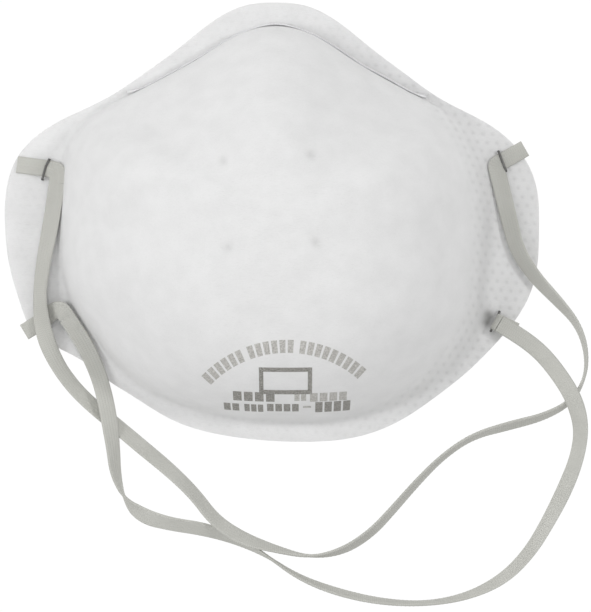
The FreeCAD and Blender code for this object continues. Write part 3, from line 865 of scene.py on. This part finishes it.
def staple(place, centre, degrees, kink):
    """Crown over the strap, two legs through the flange and their feet clinched flat behind it."""
    half = (STAPLE_CROWN - STAPLE_WIRE) / 2
    sag = CROWN_LEVEL - kink / 2
    outline = [
        (-FOOT_GAP / 2, 0, FOOT_LEVEL),
        (-half, 0, FOOT_LEVEL),
        (-half, 0, CROWN_LEVEL),
        (KINK_PLACE * half, kink, sag),
        (half, 0, CROWN_LEVEL),
        (half, 0, FOOT_LEVEL),
        (FOOT_GAP / 2, 0, FOOT_LEVEL),
    ]
    angle = math.radians(degrees)
    crown = np.array([math.cos(angle), math.sin(angle), 0])
    broad = np.array([-math.sin(angle), math.cos(angle), 0])
    path = rounded(outline, STAPLE_CORNER)
    placed = np.array([*centre, 0]) + path[:, :1] * crown + path[:, 1:2] * broad + path[:, 2:] * (0, 0, 1)
    piece = flat_wire("staple_wire_" + place, placed, broad, STAPLE_STEEL)
    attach(piece, "mask")
    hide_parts("staple_" + place)


for place, made in STAPLES.items():
    staple(place, **made)


# ---- webs

WELDS = [(-0.0119, 0.0143), (0.0104, 0.0158), (-0.0104, -0.0076), (0.0116, -0.0065)]
WELD_SPREAD = 0.00085
WELD_DEPTH = 0.00034
WELD_TONE = 1.1
# Painted shadow: a dark patch beside the lower right staple, where the strap's raised fold shades the flange,
# painted into the cover's colour.
FOLD_SHADOW_PLACES = [(0.0580, -0.0246), (0.0574, -0.0268)]
FOLD_SHADOW_SPREAD = 0.0010
FOLD_SHADOW_TONE = 4.2
DOT_PITCH = 0.0026
DOT_ROWS = 0.0023
DOT_SPREAD = 0.00036
DOT_DEPTH = 0.00014
DOT_TURN = math.radians(-4)
DOT_LEFT_SHARE = 0.3
# X over which the dots grow clear, and over which they reach further; and where on the profile they start.
DOT_SIDES = (0.004, 0.050)
DOT_FAR_SIDES = (0.020, 0.050)
DOT_START = (0.05, 0.2)
# How far up the profile the dots go, how much further on the right, and over how much they fade.
DOT_REACH = 3.6
DOT_EXTRA_REACH = 1.6
DOT_FADE = 1.1
STAPLE_PRESS = 0.00012
STAPLE_PRESS_SPREAD = 0.0022
FOOT_PRESS = 0.00040
FOOT_REACH = 0.0004
FOOT_SOFTNESS = 0.0005
# How strongly and how widely a weld shows on the lining, against the cover.
LINING_WELD = (0.6, 1.3)
WAVES = 9
WAVE_HEIGHT = 0.00005
WAVE_LENGTHS = (0.013, 0.034)
# Parameters of the profile between which the unevenness sets in.
WAVE_START = (4.0, 6.5)
EDGE_ROUNDING = 0.00010
EDGE_INSET = 0.00008

random = np.random.default_rng(7)
wave_turns = random.uniform(0, TURN, WAVES)
wave_phases = random.uniform(0, TURN, WAVES)
wave_numbers = TURN / random.uniform(*WAVE_LENGTHS, WAVES)


def unevenness(x, y, values):
    """Slow unevenness of the moulded dome, the same in every web; none on the flange and the clip."""
    total = 0.0
    for turn, phase, number in zip(wave_turns, wave_phases, wave_numbers):
        total = total + np.sin(number * (x * math.cos(turn) + y * math.sin(turn)) + phase)
    return WAVE_HEIGHT * total * smooth_step(*WAVE_START, values)


def spots(x, y, places, spread):
    """Round soft spots at these places, 1 in the middle of each."""
    return sum(np.exp(-((x - px) ** 2 + (y - py) ** 2) / (2 * spread**2)) for px, py in places)


def dot_lattice(x, y):
    """Staggered rows of embossed dots."""
    across = x * math.cos(DOT_TURN) + y * math.sin(DOT_TURN)
    up = y * math.cos(DOT_TURN) - x * math.sin(DOT_TURN)
    row = np.round(up / DOT_ROWS)
    across = across - (row % 2) * DOT_PITCH / 2
    across = across - np.round(across / DOT_PITCH) * DOT_PITCH
    up = up - row * DOT_ROWS
    return np.exp(-(across**2 + up**2) / (2 * DOT_SPREAD**2))


def dot_strength(x, values):
    """The embossing is clearest on the flange's right side and dies out up the dome's wall."""
    sideways = DOT_LEFT_SHARE + (1 - DOT_LEFT_SHARE) * smooth_step(*DOT_SIDES, x)
    reach = DOT_REACH + DOT_EXTRA_REACH * smooth_step(*DOT_FAR_SIDES, x)
    return sideways * (1 - smooth_step(reach - DOT_FADE, reach, values)) * smooth_step(*DOT_START, values)


STAPLE_PLACES = [made["centre"] for made in STAPLES.values()]


def cover_relief(x, y, values):
    relief = unevenness(x, y, values) - WELD_DEPTH * spots(x, y, WELDS, WELD_SPREAD)
    relief = relief - DOT_DEPTH * dot_lattice(x, y) * dot_strength(x, values)
    return relief - STAPLE_PRESS * spots(x, y, STAPLE_PLACES, STAPLE_PRESS_SPREAD)


def cover_darkening(x, y, values):
    """How dark the cover is: pressed clear in its dots and welds, and with a painted shadow beside the lower
    right staple.
    """
    dots = dot_lattice(x, y) * dot_strength(x, values)
    welds = WELD_TONE * spots(x, y, WELDS, WELD_SPREAD)
    # The last term is painted shadow: the strap fold's shade on the flange, put into the colour.
    return np.maximum(np.maximum(dots, welds), FOLD_SHADOW_TONE * spots(x, y, FOLD_SHADOW_PLACES, FOLD_SHADOW_SPREAD))


def back_darkening(x, y, values):
    return dot_lattice(x, y) * dot_strength(-x, values)


def foot_grooves(x, y):
    """Grooves that the staples' feet have pressed into the back of the flange."""
    total = 0.0
    for made in STAPLES.values():
        angle = math.radians(made["degrees"])
        across = x - made["centre"][0]
        up = y - made["centre"][1]
        along = np.abs(across * math.cos(angle) + up * math.sin(angle))
        beside = np.abs(up * math.cos(angle) - across * math.sin(angle))
        inside = 1 - smooth_step(STAPLE_CROWN / 2, STAPLE_CROWN / 2 + FOOT_SOFTNESS, along)
        total = total + inside * (1 - smooth_step(FOOT_REACH, FOOT_REACH + FOOT_SOFTNESS, beside))
    return total


def shell_back_relief(x, y, values):
    relief = unevenness(x, y, values) + DOT_DEPTH * dot_lattice(x, y) * dot_strength(-x, values)
    return relief + FOOT_PRESS * foot_grooves(x, y)


def lining_relief(x, y, values):
    share, widening = LINING_WELD
    return unevenness(x, y, values) - share * WELD_DEPTH * spots(x, y, WELDS, WELD_SPREAD * widening)


def face_rings(layout, depth, relief, pull=0.0, darkening=None):
    """Rings of points of one face, from the edge towards the crown, each point with its darkening; pull
    rounds the first ring off."""
    rings = []
    for values, columns in layout:
        angles = TURN * np.arange(columns) / columns
        r, z, normal_r, normal_z = profile_grid(angles, values, depth)
        if not rings:
            r[:, 0] -= pull
        push = relief(*in_plan(angles, r), values[None, :])
        x, y = in_plan(angles, r + normal_r * push)
        z = z + normal_z * push
        darkened = darkening(*in_plan(angles, r), values[None, :]) if darkening else np.zeros_like(z)
        rings += [np.stack([x[:, k], y[:, k], z[:, k], darkened[:, k]], 1) for k in range(len(values))]
    return rings


def pole(depth, relief):
    """The web face's single point on the dome's axis."""
    push = float(relief(*(np.array(place) for place in (*DOME_CENTRE, TOP))))
    return np.array([[*DOME_CENTRE, CUP_DEPTH - depth[1] + push, 0.0]])


def edge_ring(columns, height):
    """Ring on the flange's cut edge."""
    angles = TURN * np.arange(columns) / columns
    x, y = in_plan(angles, flange_radius(angles)[:, None])
    return np.stack([x[:, 0], y[:, 0], np.full(columns, height), np.zeros(columns)], 1)


def layout(*zones):
    """Zones of a face: (first parameter, last parameter, rings, columns), without the pole itself."""
    made = []
    for first, last, rings, columns in zones:
        values = np.linspace(first, last, rings + 1)
        made.append((values[1:] if made else values, columns))
    values, columns = made[-1]
    made[-1] = (values[:-1], columns)
    return made


def web(name, node, material, upper, lower, between=()):
    """Closed web between two faces, each (layout, depth, relief, pull, darkening)."""
    rings = [pole(lower[1], lower[2])] + face_rings(*lower)[::-1] + list(between) + face_rings(*upper)
    piece = skin(name, rings + [pole(upper[1], upper[2])], material)
    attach(piece, "mask")
    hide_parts(node)


# Faces as zones of rings: finer on the embossed flange than on the dome, and coarse where nothing shows.
HIDDEN = layout((0, 3, 8, 300), (3, TOP, 16, 300))
COVER_FACE = layout((0, 2.2, 42, 1200), (2.2, 7, 28, 600), (7, TOP, 58, 300))
BACK_FACE = layout((0, 2.4, 30, 1200), (2.4, 5, 8, 600), (5, TOP, 14, 300))

cover_bottom = FLANGE_TOP - COVER_THICKNESS[0]
cover_edge = [edge_ring(600, cover_bottom + EDGE_INSET), edge_ring(1200, FLANGE_TOP - EDGE_ROUNDING)]
web(
    "outer_cover_web",
    "outer_cover",
    COVER,
    (COVER_FACE, NO_DEPTH, cover_relief, EDGE_ROUNDING, cover_darkening),
    (HIDDEN, FILTER_DEPTH, unevenness, 0.0),
    cover_edge,
)
web(
    "filter_web",
    "filter_layer",
    FILTER,
    (HIDDEN, FILTER_DEPTH, unevenness, 0.0),
    (HIDDEN, SHELL_DEPTH, unevenness, 0.0),
)
shell_edge = [edge_ring(1200, EDGE_ROUNDING), edge_ring(600, SHELL_THICKNESS[0] - EDGE_INSET)]
web(
    "moulded_shell_felt",
    "moulded_shell",
    FELT,
    (HIDDEN, SHELL_DEPTH, unevenness, 0.0),
    (BACK_FACE, LINING_DEPTH, shell_back_relief, EDGE_ROUNDING, back_darkening),
    shell_edge,
)


def height_parameter(angles, depth, height):
    """Parameter at which the web face at this depth reaches the height, for each angle."""
    _, z, _, _ = profile_grid(angles, SAMPLES, depth)
    return np.array([np.interp(height, *first_rise(column)) for column in z])


def first_rise(heights):
    """The part of a profile that rises, as (heights, parameters)."""
    start = max(np.argmax(heights > heights[0] + 1e-7) - 1, 0)
    return heights[start:], SAMPLES[start:]


lining_start = height_parameter(TURN * np.arange(8) / 8, FACE_DEPTH, LINING_START_HEIGHT).max()
lining_inside = layout((lining_start, 7, 36, 600), (7, TOP, 40, 300))
lining_outside = layout((lining_start, 7, 12, 300), (7, TOP, 10, 300))
web(
    "inner_lining_web",
    "inner_lining",
    LINING,
    (lining_outside, LINING_DEPTH, unevenness, 0.0),
    (lining_inside, FACE_DEPTH, lining_relief, 0.0),
)


# ---- nose clip and nose foam

CLIP_STATIONS = 220
CLIP_END_ROUNDING = 0.0012
CLIP_EDGE = 0.0001
CLIP_END_LIFT = 0.00030
CLIP_END_TURN = math.radians(9)
CLIP_END_REACH = 0.0030
CLIP_END_LIFT_REACH = 0.005
CLIP_RIPPLE = 0.00004
CLIP_RIPPLE_RUNS = (0.0031, 0.0017)
# Radius that the strip's length is measured on, and how far its back sinks into the cover.
CLIP_ARC_RADIUS = 0.05
CLIP_BITE = 0.00004
# Where the strip stands off the wall: (share of its length, how far on each side, the gap).
CLIP_GAPS = [(0.5, 0.005, 0.00033), (0.13, 0.006, 0.00026), (0.30, 0.008, 0.00012), (0.86, 0.006, 0.00012)]
FOAM_STATIONS = 150
FOAM_ROWS = 34
FOAM_ROUNDING = 7
FOAM_ROUGHNESS = 0.00007
FOAM_EDGE = 0.02
FOAM_BITE = 0.00002


def clip_sections():
    """Sections of the bent metal strip, standing on the dome's foot and lying on its steep wall."""
    angles = np.radians(np.linspace(*CLIP_ANGLES, CLIP_STATIONS))
    dense = np.linspace(0, TOP, 2000)
    grid_r, grid_z, _, _ = profile_grid(angles, dense, NO_DEPTH)
    arc = CLIP_ARC_RADIUS * (angles - angles[0])
    ripple = CLIP_RIPPLE * (np.sin(arc / CLIP_RIPPLE_RUNS[0]) + np.sin(arc / CLIP_RIPPLE_RUNS[1] + 1.0) * 0.5)
    sections = []
    for angle, radii, heights, along, wave in zip(angles, grid_r, grid_z, arc, ripple):
        first = np.argmax(heights > FLANGE_TOP + CLIP_LIFT)
        low = np.array([radii[first], heights[first]])
        away = np.hypot(radii[first:] - low[0], heights[first:] - low[1])
        last = first + np.argmax(away > CLIP_WIDTH)
        chord = unit(np.array([radii[last], heights[last]]) - low)
        high = low + chord * CLIP_WIDTH
        from_end = min(along, arc[-1] - along)
        turn = CLIP_END_TURN * (1 - smooth_step(0, CLIP_END_REACH, from_end))
        chord = chord * math.cos(turn) - np.array([chord[1], -chord[0]]) * math.sin(turn)
        outward = np.array([chord[1], -chord[0]])
        corner = max(CLIP_END_ROUNDING - from_end, 0)
        trim = CLIP_END_ROUNDING - math.sqrt(CLIP_END_ROUNDING**2 - corner**2)
        lift = CLIP_END_LIFT * (1 - smooth_step(0, CLIP_END_LIFT_REACH, from_end)) + wave
        for share, spread, gap in CLIP_GAPS:
            lift += gap * math.exp(-(((along - arc[-1] * share) / spread) ** 2))
        half_width = CLIP_WIDTH / 2 - trim
        half = CLIP_THICKNESS / 2
        inner = half_width - CLIP_EDGE
        level = half - CLIP_EDGE
        outline = [(-inner, -half), (inner, -half), (half_width, -level), (half_width, level)]
        outline += [(inner, half), (-inner, half), (-half_width, level), (-half_width, -level)]
        centre = high - chord * CLIP_WIDTH / 2 + outward * (half - CLIP_BITE + lift)
        r, z = np.array([centre + chord * u + outward * w for u, w in outline]).T
        x, y = in_plan(np.array([angle]), r)
        sections.append(np.stack([x[0], y[0], z], 1))
    return sections


clip = loft("nose_clip_strip", clip_sections(), CLIP_METAL)
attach(clip, "mask")
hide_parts("nose_clip")


def foam_sections():
    """Sections of the foam strip on the lining, thick in the middle and rounded towards its edges."""
    angles = np.radians(np.linspace(*FOAM_ANGLES, FOAM_STATIONS))
    middle = [(angles[0] + angles[-1]) / 2]
    start = height_parameter(middle, FACE_DEPTH, FOAM_START_HEIGHT)[0]
    dense = np.linspace(start, TOP, 1500)
    r, z, _, _ = profile_grid(middle, dense, FACE_DEPTH)
    end = dense[np.argmax(np.hypot(r[0] - r[0, 0], z[0] - z[0, 0]) > FOAM_WIDTH)]
    values = np.linspace(start, end, FOAM_ROWS)
    r, z, normal_r, normal_z = profile_grid(angles, values, FACE_DEPTH)
    across = np.abs(np.linspace(-1, 1, FOAM_ROWS))[None, :]
    along = np.abs(np.linspace(-1, 1, FOAM_STATIONS))[:, None]
    full = (1 - across**FOAM_ROUNDING) ** 0.5 * (1 - along ** (FOAM_ROUNDING * 4)) ** 0.5
    rough = random.normal(0, FOAM_ROUGHNESS, full.shape) * (full > 0.3)
    depth = FOAM_THICKNESS * (FOAM_EDGE + (1 - FOAM_EDGE) * full) + rough
    x_back, y_back = in_plan(angles, r + normal_r * FOAM_BITE)
    x, y = in_plan(angles, r - normal_r * depth)
    back = np.stack([x_back, y_back, z + normal_z * FOAM_BITE], -1)
    front = np.stack([x, y, z - normal_z * depth], -1)
    return np.concatenate([back, front[:, ::-1]], 1)


foam = loft("nose_foam_strip", foam_sections(), FOAM)
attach(foam, "mask")
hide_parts("nose_foam")


# ---- plain grey bars printed on the front

INK_LIFT = 0.00003
INK_DEPTH = 0.00006
INK_STEP = 0.0006
# The arch: its groups, each (angle where it starts, number of bars), and a bar's pitch and width in degrees.
ARCH_CENTRE = (0.0042, -0.0611)
ARCH_RADII = (0.0270, 0.0303)
ARCH_GROUPS = [(136.4, 6), (110.0, 6), (83.6, 9)]
ARCH_PITCH = 4.05
ARCH_BAR = 2.9
ROW_SAG = 0.0006
ROW_HALF_LENGTH = 0.018
# The hollow block: (left, right, bottom, top) and the width of its line.
BLOCK = (-0.0030, 0.0105, -0.0443, -0.0373)
BLOCK_LINE = 0.0011
# (left, right, bottom, top, number of bars, ink) of each group in the straight rows.
ROWS_OF_BARS = [
    (-0.0098, 0.0009, -0.0464, -0.0439, 4, "dark"),
    (0.0060, 0.0090, -0.0461, -0.0443, 2, "light"),
    (0.0100, 0.0195, -0.0464, -0.0441, 4, "light"),
    (-0.0124, -0.0084, -0.0494, -0.0473, 2, "dark"),
    (-0.0070, -0.0021, -0.0494, -0.0473, 3, "dark"),
    (-0.0011, 0.0071, -0.0491, -0.0470, 4, "dark"),
    (0.0082, 0.0103, -0.0481, -0.0476, 1, "light"),
    (0.0114, 0.0205, -0.0495, -0.0466, 4, "dark"),
]
BAR_SHARE = 0.78


def draped_film(name, sheets, material):
    """Thin closed films over the cover; each sheet is a grid of plan points."""
    points = []
    faces = []
    for sheet in sheets:
        x, y = sheet[..., 0], sheet[..., 1]
        values, heights, steepness = outer_face(x, y)
        heights = heights + cover_relief(x, y, values) * steepness
        rows, columns = x.shape
        index = np.arange(rows * columns).reshape(rows, columns) + len(points)
        under = index + rows * columns
        for level in (INK_LIFT, INK_LIFT - INK_DEPTH):
            points += np.stack([x, y, heights + level * steepness], -1).reshape(-1, 3).tolist()
        cells = np.stack([index[:-1, :-1], index[:-1, 1:], index[1:, 1:], index[1:, :-1]], -1)
        faces += cells.reshape(-1, 4).tolist()
        cells = np.stack([under[:-1, :-1], under[1:, :-1], under[1:, 1:], under[:-1, 1:]], -1)
        faces += cells.reshape(-1, 4).tolist()
        rim = np.concatenate([index[0, :-1], index[:-1, -1], index[-1, :0:-1], index[:0:-1, 0]])
        below = rim + rows * columns
        faces += np.stack([rim, below, np.roll(below, -1), np.roll(rim, -1)], 1).tolist()
    piece = new_piece(name, points, faces, material)
    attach(piece, "mask")


def straight_sheet(left, right, bottom, top):
    """Grid of plan points over a bar whose row sags a little towards its middle."""
    columns = max(2, round((right - left) / INK_STEP) + 1)
    rows = max(2, round((top - bottom) / INK_STEP) + 1)
    x, y = np.meshgrid(np.linspace(left, right, columns), np.linspace(bottom, top, rows))
    return np.stack([x, y - ROW_SAG * (1 - ((x - ARCH_CENTRE[0]) / ROW_HALF_LENGTH) ** 2)], -1)


def arch_sheet(first, last):
    """Grid of plan points over a bar of the arch, between two angles."""
    columns = max(2, round(math.radians(first - last) * ARCH_RADII[1] / INK_STEP) + 1)
    rows = round((ARCH_RADII[1] - ARCH_RADII[0]) / INK_STEP) + 1
    angles = np.radians(np.linspace(first, last, columns))
    angles, radii = np.meshgrid(angles, np.linspace(*ARCH_RADII, rows))
    return np.stack([radii * np.cos(angles), radii * np.sin(angles)], -1) + ARCH_CENTRE


left, right, bottom, top = BLOCK
outline = [
    straight_sheet(left, right, top - BLOCK_LINE, top),
    straight_sheet(left, right, bottom, bottom + BLOCK_LINE),
    straight_sheet(left, left + BLOCK_LINE, bottom + BLOCK_LINE, top - BLOCK_LINE),
    straight_sheet(right - BLOCK_LINE, right, bottom + BLOCK_LINE, top - BLOCK_LINE),
]
bars = {"dark": outline, "light": []}
for left, right, bottom, top, count, ink in ROWS_OF_BARS:
    pitch = (right - left) / (count - 1 + BAR_SHARE)
    for k in range(count):
        bars[ink].append(straight_sheet(left + k * pitch, left + (k + BAR_SHARE) * pitch, bottom, top))
for first, count in ARCH_GROUPS:
    starts = first - ARCH_PITCH * np.arange(count)
    bars["light"] += [arch_sheet(start, start - ARCH_BAR) for start in starts]
draped_film("printed_dark_bars", bars["dark"], DARK_INK)
draped_film("printed_light_bars", bars["light"], LIGHT_INK)


# ---- table top and lights

FLOOR_SIZE = 6.0
FLOOR_GLOW = 1.02
WORLD_STRENGTH = 0.48
LIGHTS = [
    {"name": "overhead", "place": (0.0, 0.0, 1.2), "size": 0.6, "watts": 1.2},
    {"name": "left", "place": (-0.9, 0.0, 0.9), "size": 0.6, "watts": 4.9},
    {"name": "right", "place": (0.75, 0.15, 0.95), "size": 0.15, "watts": 2.6},
    {"name": "nose_side", "place": (0.0, 0.9, 0.9), "size": 0.6, "watts": 2.1},
    {"name": "chin_side", "place": (0.0, -0.9, 0.9), "size": 0.6, "watts": 0.6},
]


def make_floor():
    """White table top that glows, so that it shows no shadows."""
    half = FLOOR_SIZE / 2
    corners = [(-half, -half, 0), (half, -half, 0), (half, half, 0), (-half, half, 0)]
    settings = {"Specular_IOR_Level": 0.0, "Emission_Strength": FLOOR_GLOW}
    shader = Shader("table_top", (0.0, 0.0, 0.0), 0.9, **settings)
    shader.principled.inputs["Emission Color"].default_value = (1, 1, 1, 1)
    floor = new_piece("table_top", corners, [(0, 1, 2, 3)], shader.material)


def make_light(name, place, size, watts):
    """Round soft light that faces the middle of the mask."""
    data = bpy.data.lights.new(name, "AREA")
    data.shape = "DISK"
    data.size = size
    data.energy = watts
    light = bpy.data.objects.new(name, data)
    light.location = place
    x, y, z = place
    light.rotation_euler = (math.acos(z / math.hypot(x, y, z)), 0, math.atan2(y, x) + math.pi / 2)
    bpy.context.scene.collection.objects.link(light)


def make_world(strength):
    world = bpy.data.worlds.new("world")
    bpy.context.scene.world = world
    world.use_nodes = True
    background = world.node_tree.nodes["Background"]
    background.inputs["Color"].default_value = (1, 1, 1, 1)
    background.inputs["Strength"].default_value = strength


make_floor()
for light in LIGHTS:
    make_light(**light)
make_world(WORLD_STRENGTH)
bpy.context.scene.view_settings.view_transform = "Standard"
